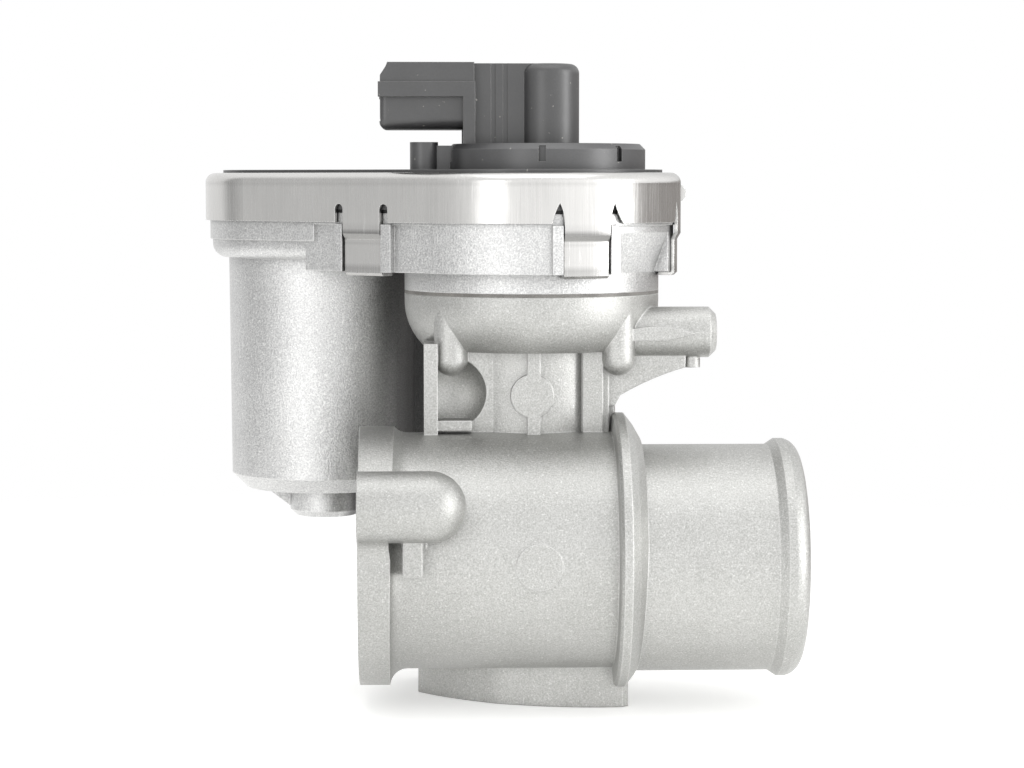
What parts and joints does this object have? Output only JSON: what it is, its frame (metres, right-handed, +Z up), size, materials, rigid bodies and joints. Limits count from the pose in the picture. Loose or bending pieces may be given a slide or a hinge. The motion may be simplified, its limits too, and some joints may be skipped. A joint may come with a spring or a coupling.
{
  "type": "exhaust gas recirculation valve",
  "caption": "Electric exhaust gas recirculation valve: cast duct with hose spigot, lifting disc valve, geared motor under a clamped plastic cover with sensor dome and plug.",
  "frame": {"origin": "middle of the manifold flange face, on the axis of the intake duct", "axes": "+X along the duct towards the hose spigot, +Z up along the valve stem, +Y away from the side that the picture shows"},
  "size_m": [0.141, 0.1195, 0.1496],
  "materials": {
    "body_casting": "as die-cast, fine blasted",
    "housing_casting": "as die-cast, blasted",
    "coated_gasket": "matt",
    "stainless_sheet": "rolled, lightly brushed",
    "charcoal_plastic": "moulded, satin",
    "seal_rubber": "matt",
    "stainless_steel": "turned",
    "sintered_bronze": "sintered",
    "seal_polymer": "smooth",
    "machined_steel": "ground",
    "natural_plastic": "moulded",
    "gear_plastic": "glass filled, moulded",
    "spring_steel": "hardened",
    "electrical_steel": "stamped sheets",
    "copper": "drawn",
    "plated_steel": "zinc plated",
    "ferrite": "sintered",
    "black_plastic": "moulded",
    "carbon": "pressed",
    "circuit_board": "glass fibre laminate"
  },
  "bodies": {
    "valve": {"valve_body": "body_casting", "actuator_housing": "housing_casting", "body_gasket": "coated_gasket", "clamp_ring": "stainless_sheet", "cover": "charcoal_plastic", "cover_seal": "seal_rubber", "seat_ring": "stainless_steel", "stem_bush": "sintered_bronze", "stem_seal": "seal_polymer", "guide_sleeve": "machined_steel", "thrust_washer": "natural_plastic", "sleeve_clip": "spring_steel", "return_spring": "spring_steel", "intermediate_pin": "machined_steel", "pin_clip": "spring_steel", "motor_case": "plated_steel", "motor_magnets": "ferrite", "motor_bearings": "sintered_bronze", "motor_plate": "plated_steel", "brush_card": "black_plastic", "brushes": "carbon", "motor_contacts": "copper", "wave_washer": "spring_steel", "motor_screws": "plated_steel", "housing_screws": "plated_steel", "sensor_board": "circuit_board", "connector_terminals": "copper"},
    "rotor": {"motor_pinion": "sintered_bronze", "motor_shaft": "machined_steel", "armature": "electrical_steel", "commutator": "copper"},
    "gear_wheel": {"intermediate_gear": "natural_plastic"},
    "cam_gear": {"output_gear": "gear_plastic"},
    "poppet": {"valve_disc": "stainless_steel", "valve_stem": "stainless_steel", "cross_pin": "machined_steel", "cam_rollers": "machined_steel", "sensor_magnet": "ferrite"}
  },
  "joints": [
    {"name": "motor_turn", "type": "hinge", "parent": "valve", "child": "rotor", "pos_m": [-0.00975, 0.05209, 0.04], "axis": [0, 0, 1], "range_deg": [0, 1615.7]},
    {"name": "wheel_turn", "type": "hinge", "parent": "valve", "child": "gear_wheel", "pos_m": [0.0141, 0.03594, 0.075], "axis": [0, 0, 1], "range_deg": [-390, 0]},
    {"name": "cam_turn", "type": "hinge", "parent": "valve", "child": "cam_gear", "pos_m": [0.0406, 0.018, 0.065], "axis": [0, 0, 1], "range_deg": [0, 90], "stiffness_Nm_per_rad": 0.3, "springref_deg": -20.05, "deforming": ["return_spring"]},
    {"name": "valve_lift", "type": "slide", "parent": "valve", "child": "poppet", "axis": [0, 0, 1], "range_m": [0, 0.0065]}
  ],
  "couplings": [
    {"joint": "wheel_turn", "follows": "motor_turn", "ratio": -0.24138},
    {"joint": "cam_turn", "follows": "motor_turn", "ratio": 0.055703},
    {"joint": "valve_lift", "follows": "motor_turn", "m_per_rad": 0.0002305}
  ]
}
